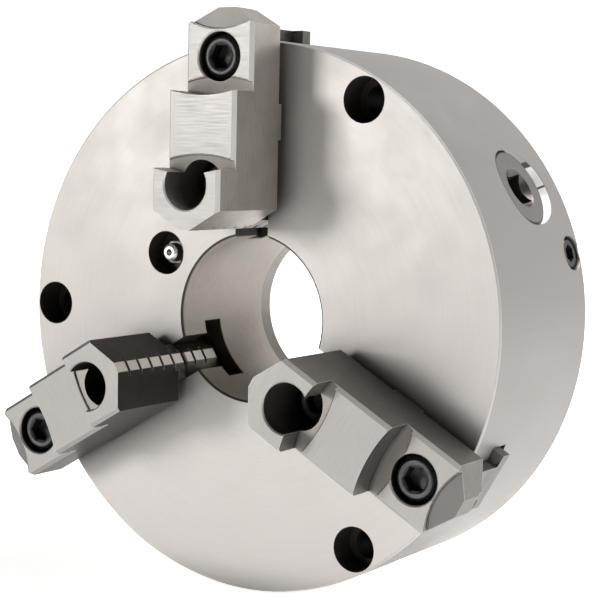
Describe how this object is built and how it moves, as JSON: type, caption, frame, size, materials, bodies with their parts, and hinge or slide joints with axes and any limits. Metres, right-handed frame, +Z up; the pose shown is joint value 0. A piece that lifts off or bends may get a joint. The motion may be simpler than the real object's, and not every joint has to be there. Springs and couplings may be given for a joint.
{
  "type": "lathe chuck",
  "caption": "Self-centring scroll lathe chuck with stepped reversible jaws, key-driven pinions in the rim and front mounting holes.",
  "frame": {"origin": "centre of the back mounting face, on the chuck axis", "axes": "+Y along the chuck axis from the face towards the spindle, +Z up through jaw 1, +X to the right seen from the front"},
  "size_m": [0.2, 0.1148, 0.2102],
  "materials": {
    "ground_steel": "fine ground hardened steel, warm light grey",
    "turned_steel": "turned steel, brownish grey",
    "hardened_steel": "ground hardened steel",
    "black_screw": "black oxide, lightly oiled",
    "plated_steel": "bright plated steel"
  },
  "bodies": {
    "chuck_body": {"body": "ground_steel", "rear_cover": "turned_steel", "rear_cover_screws": "black_screw", "cover_dowels": "ground_steel", "pinion_retaining_pins": "black_screw", "adjusting_screws": "black_screw", "grease_nipple": "plated_steel", "grease_nipple_ball": "plated_steel"},
    "scroll": {"scroll_plate": "turned_steel"},
    "pinion_1_body": {"pinion_1": "hardened_steel"},
    "pinion_2_body": {"pinion_2": "hardened_steel"},
    "pinion_3_body": {"pinion_3": "hardened_steel"},
    "jaw_1": {"master_jaw_1": "hardened_steel", "top_jaw_1": "ground_steel", "jaw_screws_1": "black_screw"},
    "jaw_2": {"master_jaw_2": "hardened_steel", "top_jaw_2": "ground_steel", "jaw_screws_2": "black_screw"},
    "jaw_3": {"master_jaw_3": "hardened_steel", "top_jaw_3": "ground_steel", "jaw_screws_3": "black_screw"}
  },
  "joints": [
    {"name": "scroll_turn", "type": "hinge", "parent": "chuck_body", "child": "scroll", "pos_m": [0, -0.045, 0], "axis": [0, 1, 0], "range_deg": [-1120, 480]},
    {"name": "jaw_1_slide", "type": "slide", "parent": "chuck_body", "child": "jaw_1", "axis": [0, 0, 1], "range_m": [-0.0281, 0.0121]},
    {"name": "jaw_2_slide", "type": "slide", "parent": "chuck_body", "child": "jaw_2", "axis": [-0.866, 0, -0.5], "range_m": [-0.0281, 0.0121]},
    {"name": "jaw_3_slide", "type": "slide", "parent": "chuck_body", "child": "jaw_3", "axis": [0.866, 0, -0.5], "range_m": [-0.0281, 0.0121]},
    {"name": "pinion_1_turn", "type": "hinge", "parent": "chuck_body", "child": "pinion_1_body", "pos_m": [0.07578, -0.0305, 0.04375], "axis": [0.866, 0, 0.5], "range_deg": [-6730, 2890]},
    {"name": "pinion_2_turn", "type": "hinge", "parent": "chuck_body", "child": "pinion_2_body", "pos_m": [-0.07578, -0.0305, 0.04375], "axis": [-0.866, 0, 0.5], "range_deg": [-6730, 2890]},
    {"name": "pinion_3_turn", "type": "hinge", "parent": "chuck_body", "child": "pinion_3_body", "pos_m": [0, -0.0305, -0.0875], "axis": [0, 0, -1], "range_deg": [-6730, 2890]}
  ],
  "couplings": [
    {"joint": "jaw_1_slide", "follows": "scroll_turn", "m_per_rad": 0.0014324},
    {"joint": "jaw_2_slide", "follows": "scroll_turn", "m_per_rad": 0.0014324},
    {"joint": "jaw_3_slide", "follows": "scroll_turn", "m_per_rad": 0.0014324},
    {"joint": "pinion_1_turn", "follows": "scroll_turn", "ratio": 6},
    {"joint": "pinion_2_turn", "follows": "scroll_turn", "ratio": 6},
    {"joint": "pinion_3_turn", "follows": "scroll_turn", "ratio": 6}
  ]
}
